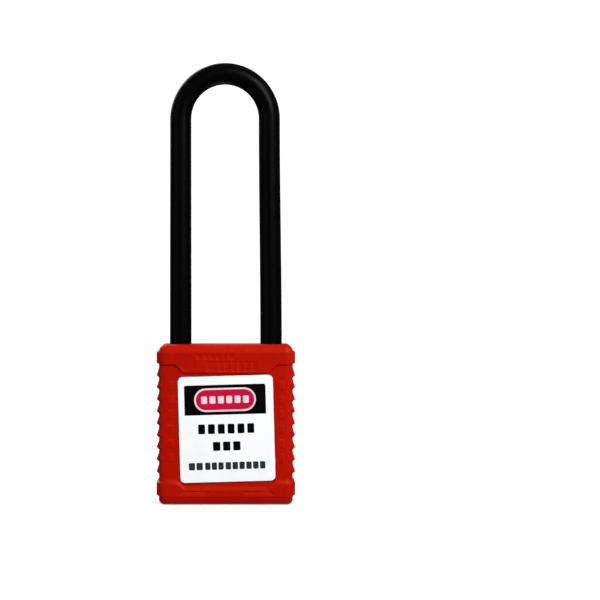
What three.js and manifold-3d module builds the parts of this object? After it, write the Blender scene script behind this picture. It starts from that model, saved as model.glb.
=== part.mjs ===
// A long-shackle safety lockout padlock: moulded nylon body, nylon shackle, pin-tumbler core.
// Millimetres, +Z up. The origin is the centre of the bottom face, the label side faces -Y,
// and the sprung heel of the shackle is on the -X side.
import * as THREE from "three";
import { mergeVertices } from "three/addons/utils/BufferGeometryUtils.js";
import Module from "manifold-3d";

const wasm = await Module();
wasm.setup();

// ---- Driving dimensions -------------------------------------------------------------------

const BODY = {
  width: 40, // over the corner bands
  core: 38.6, // over the side walls between the grip teeth
  depth: 19,
  height: 46,
  cornerRadius: 2.4,
  edgeRadius: 1.8,
  topRadius: 1.9,
  bottomRadius: 1.7,
};
const BAND = { lowBottom: 2.4, lowTop: 6.6, highBottom: 40.4, highTop: 44.2, lead: 0.6 };
// A grip tooth rises slowly to its crest from above and drops back steeply below it.
const TEETH = { count: 9, firstCrest: 9.35, pitch: 3.46, drop: 0.45, flat: 0.3, rise: 2.4 };
const PANEL = {
  depth: 0.45,
  sideBottom: 6.6,
  sideTop: 40.2,
  middleBottom: 4.8,
  middleTop: 37.8,
  shoulder: 14.4,
  slant: 2.5,
  topShift: 0.3, // the upper shoulders stand this much further out than the lower ones
};
const LABEL = { width: 27.3, height: 30.4, thickness: 0.3, glue: 0.05, radius: 1.4 };
LABEL.centreX = 0.2;
LABEL.centreZ = 21.85;
LABEL.tilt = THREE.MathUtils.degToRad(1.6);

const SHACKLE = { radius: 3.15, legX: 13.15, clearHeight: 75.5, chamfer: 0.8 };
SHACKLE.heelEnd = 24;
SHACKLE.toeEnd = 36.2;
const LIFT = 10; // how far the shackle rises when the lock is open
const LEG_BORE = { radius: 3.45, floor: 13 };
const HEEL_SPRING = { wire: 0.3, radius: 2.3, turns: 7, gap: 0.1 };

const CAVITY = { halfWidth: 8.4, halfDepth: 6.2, top: 43.2, radius: 1.4 };
const FIT = 0.25; // clearance round the pieces that sit in the cavity
const SLIDE = 0.15; // clearance between pieces that slide or turn on each other

const COVER = { halfWidth: 15.5, halfDepth: 6.35, bottom: 0.2, top: 2.6, radius: 3 };
const RIVET = { x: 13, shank: 1.2, head: 2.2, rim: 0.3, bottom: 0.35, headHeight: 0.9, top: 9.5 };

const HOUSING = { bottom: 3, top: 31, barrel: 5.6, towerHalf: 2.9, flange: 2, bore: 3.65 };
const PLUG = { radius: 3.5, headRadius: 4, bottom: 0.6, headTop: 2.8, rear: 32.3, tangTop: 35 };
const PINS = { count: 6, first: 7.4, pitch: 3.6, radius: 1, bore: 1.2, shear: 3.42 };
PINS.lengths = [2.6, 3.4, 2.9, 3.7, 2.4, 3.1]; // key pins, one per cut of the key
PINS.blunt = 0.35; // radius of a key pin's tip
PINS.cone = 0.6; // length of its tapered end
const DRIVER = { inner: 3.72, length: 1.9, chamfer: 0.2 };
const PIN_SPRING = { wire: 0.12, radius: 0.8, turns: 4, gap: 0.04 };
const KEYWAY = { low: -2.5, high: 3, jog: 0.1, wardHalf: 1.1, overlap: 0.5, depth: 28 };
const STRIP = { outer: 8.05, thickness: 0.45, halfWidth: 1.7, bottom: 5.6, top: 28 };
const CLIP = { inner: 2.95, outer: 4.7, bottom: 31.25, thickness: 0.6, gapAngle: 1.1 };

const CAM = { radius: 4.9, bottom: 32.5, top: 34.9, pinTop: 42.8, pinRadius: 0.9, throw: 3.536 };
const TANG = { half: 1.7, fit: 0.1 };
const GUIDE = { bottom: 35.3, top: 40.2, footBottom: 31.2, footX: 5.8, footY: 3.7, footInset: 0.6 };
const RAIL = { top: 42.6, thickness: 1, frontStart: -2, backStart: 5.3, inset: 0.4, gap: 0.2 };
const POST = { inner: -5.3, outer: -6.2, halfWidth: 5.4 };
const LATCH = { bottom: 40.4, top: 43, halfWidth: 2.5, tipX: 11.5, yokeHalf: 2.4, yokeBack: 5.7 };
const NOTCH = { floorX: 11.7, top: 43.35, floorBottom: 40.1, mouthBottom: 37 };
const HEEL_GROOVE = { flatX: -11.3, top: 43.35, ringHeight: 2.9, ringRadius: 1.7 };
HEEL_GROOVE.bottom = LATCH.bottom - LIFT - 0.2;
const RETAINER = { tipX: -11.1, innerX: -6.4, halfWidth: 2.5, shoulderHalf: 4.5 };

const EMBED = 0.5; // how far a joined piece reaches into the one that it grows from
const BEYOND = 1; // how far a cutting tool runs past the face that it opens
const ROUND_SIDES = 32;
const HALF_TURN = Math.PI;
const QUARTER_TURN = Math.PI / 2;

// ---- Materials ------------------------------------------------------------------------------

function material(colour, roughness, metalness = 0) {
  return new THREE.MeshStandardMaterial({ color: colour, roughness, metalness });
}

const RED_NYLON = material(0xb8170a, 0.45);
const BLACK_NYLON = material(0x0b0b0c, 0.5);
const WHITE_LABEL = material(0xf2f3f4, 0.35);
const ZINC = material(0xa3a6a8, 0.42, 0.9);
const BRASS = material(0xc09a4e, 0.35, 1);
const STEEL = material(0xb4b7ba, 0.3, 1);
const GREY_NYLON = material(0x4a4d50, 0.6);

// ---- Solids ---------------------------------------------------------------------------------

function solid(geometry) {
  const bare = new THREE.BufferGeometry();
  const flat = geometry.index ? geometry.toNonIndexed() : geometry;
  bare.setAttribute("position", flat.getAttribute("position"));
  const merged = mergeVertices(bare, 1e-4);
  const mesh = new wasm.Mesh({
    numProp: 3,
    vertProperties: merged.attributes.position.array,
    triVerts: new Uint32Array(merged.index.array),
  });
  return new wasm.Manifold(mesh);
}

function geometryOf(manifold) {
  const mesh = manifold.getMesh();
  const positions = new Float32Array(mesh.numVert * 3);
  for (let i = 0; i < mesh.numVert; i++) {
    const from = i * mesh.numProp;
    positions.set(mesh.vertProperties.subarray(from, from + 3), i * 3);
  }
  const geometry = new THREE.BufferGeometry();
  geometry.setAttribute("position", new THREE.BufferAttribute(positions, 3));
  geometry.setIndex(new THREE.BufferAttribute(mesh.triVerts, 1));
  geometry.computeVertexNormals();
  return geometry;
}

function join(...solids) {
  return solids.reduce((whole, piece) => whole.add(piece));
}

function cut(base, ...tools) {
  return tools.reduce((left, tool) => left.subtract(tool), base);
}

// A box given by its lowest and highest corner.
function box([x0, y0, z0], [x1, y1, z1]) {
  const geometry = new THREE.BoxGeometry(x1 - x0, y1 - y0, z1 - z0);
  return solid(geometry.translate((x0 + x1) / 2, (y0 + y1) / 2, (z0 + z1) / 2));
}

// An upright cylinder.
function rod(radius, z0, z1, { x = 0, y = 0, sides = ROUND_SIDES } = {}) {
  const geometry = new THREE.CylinderGeometry(radius, radius, z1 - z0, sides);
  return solid(geometry.rotateX(QUARTER_TURN).translate(x, y, (z0 + z1) / 2));
}

// A cylinder along X, from x0 to x1 at the given height.
function crossRod(radius, x0, x1, z, sides = 16) {
  const geometry = new THREE.CylinderGeometry(radius, radius, x1 - x0, sides);
  return solid(geometry.rotateZ(QUARTER_TURN).translate((x0 + x1) / 2, 0, z));
}

// A solid of revolution about Z from [radius, z] points that run upwards.
function turned(points, sides = ROUND_SIDES) {
  const profile = points.map(([r, z]) => new THREE.Vector2(r, z));
  return solid(new THREE.LatheGeometry(profile, sides).rotateX(QUARTER_TURN));
}

function roundedRect(halfWidth, halfDepth, radius) {
  const shape = new THREE.Shape();
  const x = halfWidth - radius;
  const y = halfDepth - radius;
  shape.absarc(x, y, radius, 0, QUARTER_TURN);
  shape.absarc(-x, y, radius, QUARTER_TURN, HALF_TURN);
  shape.absarc(-x, -y, radius, HALF_TURN, HALF_TURN + QUARTER_TURN);
  shape.absarc(x, -y, radius, -QUARTER_TURN, 0);
  return shape;
}

// A plan outline raised from z0 to z1.
function plate(shape, z0, z1, curveSegments = 4) {
  const settings = { depth: z1 - z0, bevelEnabled: false, curveSegments };
  return solid(new THREE.ExtrudeGeometry(shape, settings).translate(0, 0, z0));
}

// An outline drawn in X and Z, thickened along Y from y0 to y1.
function slab(shape, y0, y1, curveSegments = 5) {
  const settings = { depth: y1 - y0, bevelEnabled: false, curveSegments };
  const geometry = new THREE.ExtrudeGeometry(shape, settings);
  return solid(geometry.rotateX(QUARTER_TURN).translate(0, y1, 0));
}

function polygon(points) {
  return new THREE.Shape(points.map(([x, z]) => new THREE.Vector2(x, z)));
}

// ---- Curves for the wire forms ------------------------------------------------------------

class Coil extends THREE.Curve {
  constructor(radius, length, turns) {
    super();
    Object.assign(this, { radius, length, turns });
  }

  getPoint(t, target = new THREE.Vector3()) {
    const angle = t * this.turns * 2 * Math.PI;
    const x = this.radius * Math.cos(angle);
    return target.set(x, this.radius * Math.sin(angle), t * this.length);
  }
}

// The shackle's centre line, with one step for each leg and the rest for the bend.
class Bow extends THREE.Curve {
  constructor(bendSteps) {
    super();
    this.bendSteps = bendSteps;
    this.steps = bendSteps + 2;
    this.centreZ = BODY.height + SHACKLE.clearHeight + SHACKLE.radius - SHACKLE.legX;
  }

  getUtoTmapping(u) {
    return u;
  }

  getPoint(t, target = new THREE.Vector3()) {
    const along = t * this.steps;
    if (along < 1) {
      return target.set(-SHACKLE.legX, 0, THREE.MathUtils.lerp(SHACKLE.heelEnd, this.centreZ, along));
    }
    if (along > this.steps - 1) {
      const share = along - this.steps + 1;
      return target.set(SHACKLE.legX, 0, THREE.MathUtils.lerp(this.centreZ, SHACKLE.toeEnd, share));
    }
    const angle = HALF_TURN * (1 - (along - 1) / this.bendSteps);
    const x = SHACKLE.legX * Math.cos(angle);
    return target.set(x, 0, this.centreZ + SHACKLE.legX * Math.sin(angle));
  }
}

function circle(radius, sides) {
  const corners = [];
  for (let i = 0; i < sides; i++) {
    const angle = (2 * Math.PI * i) / sides;
    corners.push([radius * Math.cos(angle), radius * Math.sin(angle)]);
  }
  return polygon(corners);
}

function wire(curve, radius, steps, sides) {
  const settings = { steps, extrudePath: curve, bevelEnabled: false };
  return new THREE.ExtrudeGeometry(circle(radius, sides), settings);
}

// ---- Body ------------------------------------------------------------------------------------

// Points up the +X side of the front outline: the low band, the grip teeth and the high band.
function sideProfile() {
  const core = BODY.core / 2;
  const full = BODY.width / 2;
  const { lowBottom, lowTop, highBottom, highTop, lead } = BAND;
  const points = [[core, lowBottom], [full, lowBottom + lead / 2], [full, lowTop - lead], [core, lowTop]];
  for (let i = 0; i < TEETH.count; i++) {
    const crest = TEETH.firstCrest + i * TEETH.pitch;
    points.push([core, crest - TEETH.drop], [full, crest], [full, crest + TEETH.flat]);
    points.push([core, crest + TEETH.rise]);
  }
  points.push([core, highBottom], [full, highBottom + lead], [full, highTop - lead], [core, highTop]);
  return points;
}

function frontOutline() {
  const side = sideProfile();
  const core = BODY.core / 2;
  const low = BODY.bottomRadius;
  const high = BODY.topRadius;
  const shape = new THREE.Shape();
  shape.absarc(core - low, low, low, -QUARTER_TURN, 0);
  side.forEach(([x, z]) => shape.lineTo(x, z));
  shape.absarc(core - high, BODY.height - high, high, 0, QUARTER_TURN);
  shape.absarc(high - core, BODY.height - high, high, QUARTER_TURN, HALF_TURN);
  [...side].reverse().forEach(([x, z]) => shape.lineTo(-x, z));
  shape.absarc(low - core, low, low, HALF_TURN, HALF_TURN + QUARTER_TURN);
  return shape;
}

function bodyEnvelope() {
  const shape = roundedRect(BODY.width / 2, BODY.depth / 2, BODY.cornerRadius);
  const settings = {
    depth: BODY.height - 2 * BODY.edgeRadius,
    curveSegments: 5,
    bevelSize: BODY.edgeRadius,
    bevelThickness: BODY.edgeRadius,
    bevelOffset: -BODY.edgeRadius,
    bevelSegments: 4,
  };
  return solid(new THREE.ExtrudeGeometry(shape, settings).translate(0, 0, BODY.edgeRadius));
}

// The sunk panel that carries the label: wide between the bands, with slanted shoulders.
function panelOutline() {
  const { shoulder, slant, topShift, sideTop, sideBottom, middleTop, middleBottom } = PANEL;
  const edge = BODY.width / 2 + 1;
  const right = [
    [shoulder - slant, middleBottom],
    [shoulder, sideBottom],
    [edge, sideBottom],
    [edge, sideTop],
    [shoulder + topShift, sideTop],
    [shoulder + topShift - slant, middleTop],
  ];
  const left = [...right].reverse().map(([x, z]) => [-x, z]);
  return polygon([...right, ...left]);
}

function panelCutters() {
  const outline = panelOutline();
  const face = BODY.depth / 2;
  const floor = face - PANEL.depth;
  return [slab(outline, -face - BEYOND, -floor), slab(outline, floor, face + BEYOND)];
}

function legBore(x) {
  return rod(LEG_BORE.radius, LEG_BORE.floor, BODY.height + BEYOND, { x });
}

// The opening from the cavity into a leg's bore, for the latch or the heel retainer.
function latchWindow(side) {
  const inner = CAVITY.halfWidth - EMBED;
  const outer = LATCH.tipX - 0.1;
  const [x0, x1] = side > 0 ? [inner, outer] : [-outer, -inner];
  const halfWidth = LATCH.halfWidth + FIT;
  return box([x0, -halfWidth, LATCH.bottom - FIT], [x1, halfWidth, CAVITY.top]);
}

function bodyShell() {
  const cavity = roundedRect(CAVITY.halfWidth, CAVITY.halfDepth, CAVITY.radius);
  const seat = roundedRect(COVER.halfWidth + SLIDE, COVER.halfDepth + SLIDE, COVER.radius);
  const half = BODY.depth / 2 + BEYOND;
  const block = slab(frontOutline(), -half, half, 4).intersect(bodyEnvelope());
  return cut(
    block,
    ...panelCutters(),
    plate(cavity, -BEYOND, CAVITY.top),
    plate(seat, -BEYOND, COVER.top + SLIDE),
    legBore(-SHACKLE.legX),
    legBore(SHACKLE.legX),
    latchWindow(-1),
    latchWindow(1),
    ...rivetHoles(),
  );
}

// A countersunk rivet along Z; grown by a clearance and started lower it makes its own hole.
function rivetForm(x, bottom, grow = 0) {
  const { head, rim, shank, headHeight, top } = RIVET;
  const profile = [
    [0, bottom],
    [head + grow, bottom],
    [head + grow, RIVET.bottom + rim],
    [shank + grow, RIVET.bottom + headHeight],
    [shank + grow, top + grow],
    [0, top + grow],
  ];
  return turned(profile, 16).translate([x, 0, 0]);
}

function rivetHoles() {
  return [-RIVET.x, RIVET.x].map((x) => rivetForm(x, -BEYOND, SLIDE));
}

function bottomCover() {
  const outline = roundedRect(COVER.halfWidth, COVER.halfDepth, COVER.radius);
  const plugHole = rod(PLUG.headRadius + FIT, -BEYOND, COVER.top + BEYOND);
  return cut(plate(outline, COVER.bottom, COVER.top), plugHole, ...rivetHoles());
}

function coverRivet(x) {
  return rivetForm(x, RIVET.bottom);
}

// A sticker in the sunk panel, turned a little in its own plane as hand-applied ones are.
function label(facing) {
  const shape = roundedRect(LABEL.width / 2, LABEL.height / 2, LABEL.radius);
  const settings = { depth: LABEL.thickness, bevelEnabled: false, curveSegments: 5 };
  const geometry = new THREE.ExtrudeGeometry(shape, settings).rotateZ(LABEL.tilt);
  geometry.rotateX(QUARTER_TURN).translate(LABEL.centreX, 0, LABEL.centreZ);
  const face = BODY.depth / 2 - PANEL.depth + LABEL.glue;
  geometry.translate(0, -face, 0);
  if (facing > 0) geometry.rotateZ(HALF_TURN);
  return solid(geometry);
}

// ---- Shackle ---------------------------------------------------------------------------------

// The ring that takes the sharp rim off a leg's lower end.
function endChamfer(x, z) {
  const inner = SHACKLE.radius - SHACKLE.chamfer - EMBED;
  const outer = SHACKLE.radius + BEYOND;
  const low = z - EMBED;
  const ring = [[inner, low], [outer, low], [outer, low + outer - inner], [inner, low]];
  return turned(ring).translate([x, 0, 0]);
}

// The toe's notch: square above the latch, sloped below it so that the shackle rises freely.
function toeNotch() {
  const { floorX, top, floorBottom, mouthBottom } = NOTCH;
  const surfaceX = SHACKLE.legX - SHACKLE.radius;
  const slope = (floorBottom - mouthBottom) / (floorX - surfaceX);
  const outX = surfaceX - BEYOND;
  const outline = [
    [outX, mouthBottom - slope * BEYOND],
    [floorX, floorBottom],
    [floorX, top],
    [outX, top],
  ];
  const reach = SHACKLE.radius + BEYOND;
  return slab(polygon(outline), -reach, reach);
}

// The heel's long flat for the retainer, with a ring groove that lets the raised shackle swivel.
function heelGroove() {
  const { flatX, top, bottom, ringHeight, ringRadius } = HEEL_GROOVE;
  const reach = SHACKLE.radius + BEYOND;
  const flat = box([flatX, -reach, bottom], [flatX + reach, reach, top]);
  const x = -SHACKLE.legX;
  const ring = cut(
    rod(reach, bottom, bottom + ringHeight, { x }),
    rod(ringRadius, bottom - BEYOND, bottom + ringHeight + BEYOND, { x }),
  );
  return join(flat, ring);
}

function shackle() {
  const line = new Bow(22);
  const bow = solid(wire(line, SHACKLE.radius, line.steps, 24));
  const heelChamfer = endChamfer(-SHACKLE.legX, SHACKLE.heelEnd);
  const toeChamfer = endChamfer(SHACKLE.legX, SHACKLE.toeEnd);
  return cut(bow, toeNotch(), heelGroove(), heelChamfer, toeChamfer);
}

function heelSpring() {
  const { wire: wireRadius, radius, turns, gap } = HEEL_SPRING;
  const bottom = LEG_BORE.floor + wireRadius + gap;
  const length = SHACKLE.heelEnd - wireRadius - gap - bottom;
  const geometry = wire(new Coil(radius, length, turns), wireRadius, turns * 12, 6);
  return solid(geometry.translate(-SHACKLE.legX, 0, bottom));
}

// ---- Lock core -------------------------------------------------------------------------------

function pinHeight(index) {
  return PINS.first + index * PINS.pitch;
}

function pinIndexes() {
  return [...Array(PINS.count).keys()];
}

function cylinderHousing() {
  const { bottom, top, barrel, towerHalf, flange, bore } = HOUSING;
  const outerX = CAVITY.halfWidth - FIT;
  const block = roundedRect(outerX, CAVITY.halfDepth - FIT, CAVITY.radius);
  const whole = join(
    rod(barrel, bottom, top),
    box([-outerX, -towerHalf, bottom], [0, towerHalf, top]),
    plate(block, bottom, bottom + flange),
    plate(block, top - flange, top),
  );
  const farX = -outerX - BEYOND;
  const slotHalf = STRIP.halfWidth + SLIDE;
  const slotX = STRIP.thickness + SLIDE - STRIP.outer;
  const slot = box([farX, -slotHalf, STRIP.bottom - SLIDE], [slotX, slotHalf, STRIP.top + SLIDE]);
  const chambers = pinIndexes().map((i) => crossRod(PINS.bore, farX, 0, pinHeight(i)));
  const plugBore = rod(bore, bottom - BEYOND, top + BEYOND, { sides: 48 });
  return cut(whole, plugBore, slot, ...chambers);
}

function chamberStrip() {
  const { outer, thickness, halfWidth, bottom, top } = STRIP;
  return box([-outer, -halfWidth, bottom], [thickness - outer, halfWidth, top]);
}

// Two slots side by side, joined over a short overlap, give the keyway its ward.
function keyway() {
  const { low, high, jog, wardHalf, overlap, depth } = KEYWAY;
  return join(
    box([low, -wardHalf, 0], [jog, overlap, depth]),
    box([-jog, -overlap, 0], [high, wardHalf, depth]),
  );
}

function plug() {
  const { radius, headRadius, bottom, headTop, rear, tangTop } = PLUG;
  const grooveRadius = CLIP.inner - SLIDE;
  const grooveBottom = CLIP.bottom - SLIDE;
  const grooveTop = CLIP.bottom + CLIP.thickness + SLIDE;
  const profile = [
    [0, bottom],
    [headRadius, bottom],
    [headRadius, headTop],
    [radius, headTop],
    [radius, grooveBottom],
    [grooveRadius, grooveBottom],
    [grooveRadius, grooveTop],
    [radius, grooveTop],
    [radius, rear],
    [0, rear],
  ];
  const tang = box([-TANG.half, -TANG.half, rear - EMBED], [TANG.half, TANG.half, tangTop]);
  const holeRadius = PINS.radius + SLIDE;
  const pinHoles = pinIndexes().map((i) => crossRod(holeRadius, -radius - BEYOND, 0, pinHeight(i)));
  return cut(join(turned(profile), tang), keyway(), ...pinHoles);
}

// A small turned piece along +X, from [radius, distance] points.
function tumbler(points, x, z) {
  const profile = points.map(([r, along]) => new THREE.Vector2(r, along));
  const geometry = new THREE.LatheGeometry(profile, 12).rotateZ(-QUARTER_TURN);
  return solid(geometry.translate(x, 0, z));
}

// A key pin: flat at the shear line, with a blunt cone towards the key.
function keyPin(index) {
  const length = PINS.lengths[index];
  const { radius, blunt, cone } = PINS;
  const profile = [[0, 0], [radius, 0], [radius, length - cone], [blunt, length], [0, length]];
  return tumbler(profile, -PINS.shear, pinHeight(index));
}

function driverPin(index) {
  const { inner, length, chamfer } = DRIVER;
  const { radius } = PINS;
  const profile = [[0, 0], [radius - chamfer, 0], [radius, chamfer], [radius, length], [0, length]];
  return tumbler(profile, -inner - length, pinHeight(index));
}

function pinSpring(index) {
  const { wire: wireRadius, radius, turns, gap } = PIN_SPRING;
  const start = STRIP.outer - STRIP.thickness - wireRadius - gap;
  const end = DRIVER.inner + DRIVER.length + wireRadius + gap;
  const geometry = wire(new Coil(radius, start - end, turns), wireRadius, turns * 8, 4);
  return solid(geometry.rotateY(QUARTER_TURN).translate(-start, 0, pinHeight(index)));
}

// The spring clip in the plug's rear groove, open on the -Y side.
function plugClip() {
  const { inner, outer, bottom, thickness, gapAngle } = CLIP;
  const start = -QUARTER_TURN + gapAngle / 2;
  const end = start + 2 * HALF_TURN - gapAngle;
  const shape = new THREE.Shape();
  shape.absarc(0, 0, outer, start, end);
  shape.absarc(0, 0, inner, end, start, true);
  return plate(shape, bottom, bottom + thickness, 20);
}

// The disc on the plug's tang whose eccentric pin drives the latch.
function cam() {
  const hole = TANG.half + TANG.fit;
  const disc = rod(CAM.radius, CAM.bottom, CAM.top);
  const square = box([-hole, -hole, CAM.bottom - BEYOND], [hole, hole, CAM.top + BEYOND]);
  const offset = CAM.throw * Math.SQRT1_2;
  const pin = rod(CAM.pinRadius, CAM.top - EMBED, CAM.pinTop, { x: offset, y: offset, sides: 16 });
  return join(cut(disc, square), pin);
}

// The curved slot in the carrier that the cam's pin sweeps through.
function camSlot() {
  const reach = CAM.pinRadius + FIT;
  const spread = QUARTER_TURN / 2 + 0.4;
  const shape = new THREE.Shape();
  shape.absarc(0, 0, CAM.throw + reach, QUARTER_TURN - spread, QUARTER_TURN + spread);
  shape.absarc(0, 0, CAM.throw - reach, QUARTER_TURN + spread, QUARTER_TURN - spread, true);
  return plate(shape, GUIDE.bottom - BEYOND, GUIDE.top + BEYOND, 10);
}

// A corner foot that stands the carrier on the cylinder housing, clear of the cam.
function guideFoot(sideX, sideY) {
  const farX = CAVITY.halfWidth - FIT - GUIDE.footInset;
  const farY = CAVITY.halfDepth - FIT - GUIDE.footInset;
  const [x0, x1] = sideX > 0 ? [GUIDE.footX, farX] : [-farX, -GUIDE.footX];
  const [y0, y1] = sideY > 0 ? [GUIDE.footY, farY] : [-farY, -GUIDE.footY];
  return box([x0, y0, GUIDE.footBottom], [x1, y1, GUIDE.bottom + EMBED]);
}

// The carrier that the latch slides on, with rails beside the latch and posts by the retainer.
function latchGuide() {
  const halfWidth = CAVITY.halfWidth - FIT;
  const halfDepth = CAVITY.halfDepth - FIT;
  const block = plate(roundedRect(halfWidth, halfDepth, CAVITY.radius), GUIDE.bottom, GUIDE.top);
  const feet = [-1, 1].flatMap((sideX) => [-1, 1].map((sideY) => guideFoot(sideX, sideY)));
  const low = GUIDE.top - EMBED;
  const inner = LATCH.halfWidth + RAIL.gap;
  const outer = inner + RAIL.thickness;
  const railEnd = halfWidth - RAIL.inset;
  const uprights = [
    box([RAIL.frontStart, -outer, low], [railEnd, -inner, RAIL.top]),
    box([RAIL.backStart, inner, low], [railEnd, outer, RAIL.top]),
    box([POST.outer, -POST.halfWidth, low], [POST.inner, -inner, RAIL.top]),
    box([POST.outer, inner, low], [POST.inner, POST.halfWidth, RAIL.top]),
  ];
  return cut(join(block, ...feet, ...uprights), camSlot());
}

// The latch bolt, with a cross slot for the cam's pin and a nose for the toe's notch.
function latchBolt() {
  const { bottom, top, halfWidth, tipX, yokeHalf, yokeBack } = LATCH;
  const slotX = CAM.throw * Math.SQRT1_2;
  const slotHalf = CAM.pinRadius + SLIDE;
  const bar = box([slotX - yokeHalf, -halfWidth, bottom], [tipX, halfWidth, top]);
  const yoke = box([slotX - yokeHalf, -halfWidth, bottom], [slotX + yokeHalf, yokeBack, top]);
  const slot = box(
    [slotX - slotHalf, slotX - slotHalf, bottom - BEYOND],
    [slotX + slotHalf, CAM.throw + slotHalf, top + BEYOND],
  );
  return cut(join(bar, yoke), slot);
}

// The fixed plate whose tongue keeps the heel of the shackle in the body.
function heelRetainer() {
  const { tipX, innerX, halfWidth, shoulderHalf } = RETAINER;
  const shoulderX = FIT - CAVITY.halfWidth;
  return join(
    box([tipX, -halfWidth, LATCH.bottom], [innerX, halfWidth, LATCH.top]),
    box([shoulderX, -shoulderHalf, LATCH.bottom], [innerX, shoulderHalf, LATCH.top]),
  );
}

// ---- Assembly --------------------------------------------------------------------------------

const padlock = new THREE.Group();

function place(name, manifold, look) {
  const mesh = new THREE.Mesh(geometryOf(manifold), look);
  mesh.name = name;
  padlock.add(mesh);
}

place("body_shell", bodyShell(), RED_NYLON);
place("bottom_cover", bottomCover(), RED_NYLON);
place("cover_rivet_left", coverRivet(-RIVET.x), STEEL);
place("cover_rivet_right", coverRivet(RIVET.x), STEEL);
place("front_label", label(-1), WHITE_LABEL);
place("back_label", label(1), WHITE_LABEL);
place("shackle", shackle(), BLACK_NYLON);
place("shackle_spring", heelSpring(), STEEL);
place("cylinder_housing", cylinderHousing(), ZINC);
place("chamber_strip", chamberStrip(), BRASS);
place("plug", plug(), ZINC);
place("plug_clip", plugClip(), STEEL);
place("cam", cam(), STEEL);
place("latch_guide", latchGuide(), GREY_NYLON);
place("latch_bolt", latchBolt(), STEEL);
place("heel_retainer", heelRetainer(), STEEL);
for (const index of pinIndexes()) {
  place(`key_pin_${index + 1}`, keyPin(index), BRASS);
  place(`driver_pin_${index + 1}`, driverPin(index), BRASS);
  place(`pin_spring_${index + 1}`, pinSpring(index), STEEL);
}

export default padlock;
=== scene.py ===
"""The looks of a long-shackle safety padlock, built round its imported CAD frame.

Shapes are worked out in millimetres, +Z up, with the label side facing -Y, and turned into
metres when a piece is made. Outlines run counter-clockwise, seen from the way they are raised.
"""

import math

import bmesh
import bpy
import numpy as np
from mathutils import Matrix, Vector


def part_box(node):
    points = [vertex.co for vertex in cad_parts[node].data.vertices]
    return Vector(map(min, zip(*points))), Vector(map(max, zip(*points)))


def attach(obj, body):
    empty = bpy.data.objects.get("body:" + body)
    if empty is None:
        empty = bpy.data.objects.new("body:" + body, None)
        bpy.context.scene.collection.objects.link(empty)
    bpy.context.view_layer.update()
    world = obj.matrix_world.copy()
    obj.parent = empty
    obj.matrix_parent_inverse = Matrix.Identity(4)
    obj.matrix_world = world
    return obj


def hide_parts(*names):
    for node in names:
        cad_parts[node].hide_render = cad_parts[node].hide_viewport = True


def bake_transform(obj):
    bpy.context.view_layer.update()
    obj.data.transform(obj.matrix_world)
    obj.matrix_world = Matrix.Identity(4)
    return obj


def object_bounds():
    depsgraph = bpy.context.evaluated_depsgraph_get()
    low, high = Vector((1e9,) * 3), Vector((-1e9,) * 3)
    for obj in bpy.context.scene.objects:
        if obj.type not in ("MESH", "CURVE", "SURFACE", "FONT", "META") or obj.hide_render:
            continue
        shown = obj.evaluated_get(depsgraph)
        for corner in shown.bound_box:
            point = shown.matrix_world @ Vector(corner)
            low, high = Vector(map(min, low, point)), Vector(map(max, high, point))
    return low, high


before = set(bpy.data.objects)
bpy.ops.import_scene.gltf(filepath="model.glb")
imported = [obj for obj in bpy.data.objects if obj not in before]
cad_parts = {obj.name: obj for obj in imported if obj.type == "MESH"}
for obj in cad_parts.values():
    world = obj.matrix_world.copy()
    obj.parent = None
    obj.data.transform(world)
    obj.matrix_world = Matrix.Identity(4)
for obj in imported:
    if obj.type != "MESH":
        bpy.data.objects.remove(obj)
cad_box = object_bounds()

MM = 0.001
LEAST_RADIUS = 0.02  # keeps an outline's corner points apart
SLIVER = 0.002


# ---- Sizes from the frame ----


def node_box(name):
    """The lowest and highest corner of a CAD node, in millimetres."""
    low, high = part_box(name)
    return low / MM, high / MM


SHELL_HIGH = node_box("body_shell")[1]
COVER_LOW, COVER_HIGH = node_box("bottom_cover")
RIVET_LOW, RIVET_HIGH = node_box("cover_rivet_right")
LABEL_LOW, LABEL_HIGH = node_box("front_label")
SHACKLE_LOW, SHACKLE_HIGH = node_box("shackle")
SPRING_LOW, SPRING_HIGH = node_box("shackle_spring")
PLUG_LOW, PLUG_HIGH = node_box("plug")
HOUSING_LOW, HOUSING_HIGH = node_box("cylinder_housing")
LATCH_LOW, LATCH_HIGH = node_box("latch_bolt")

HALF_WIDTH = SHELL_HIGH.x
HALF_DEPTH = SHELL_HIGH.y
HEIGHT = SHELL_HIGH.z
CORNER = 3.0  # radius of the moulding's upright edges
CAVITY_CORNER = 1.4
COVER_CORNER = 3.0
TOP_FILLET = 1.9
BOTTOM_FILLET = 1.7

LEG_RADIUS = SHACKLE_HIGH.y
LEG_X = SHACKLE_HIGH.x - LEG_RADIUS
BEND_Z = SHACKLE_HIGH.z - LEG_X - LEG_RADIUS
TOE_END = 36.2
END_CHAMFER = 0.8
LEAN = 0.5  # how far the free leg leans towards the sprung one by the top of its straight

FIT = 0.25  # clearance round the pieces that sit in the cavity
SLIDE = 0.15  # clearance between pieces that slide or turn on each other
BEYOND = 1.0  # how far a cutting shape reaches past the surface it cuts
BORE_RADIUS = LEG_RADIUS + 0.3
BORE_MOUTH = 0.35  # chamfer round the bores' mouths


# ---- Meshes ----


def loft(rings, closed=False):
    """A skin over rings of equally many points, capped at both ends unless it closes on itself."""
    count = len(rings[0])
    last = len(rings) - 1
    faces = []
    for row in range(last + closed):
        low = row * count
        high = (row + 1) % len(rings) * count
        for column in range(count):
            after = (column + 1) % count
            faces.append((low + column, low + after, high + after, high + column))
    if not closed:
        faces.append(tuple(reversed(range(count))))
        faces.append(tuple(range(last * count, (last + 1) * count)))
    return np.concatenate(rings), faces


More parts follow.
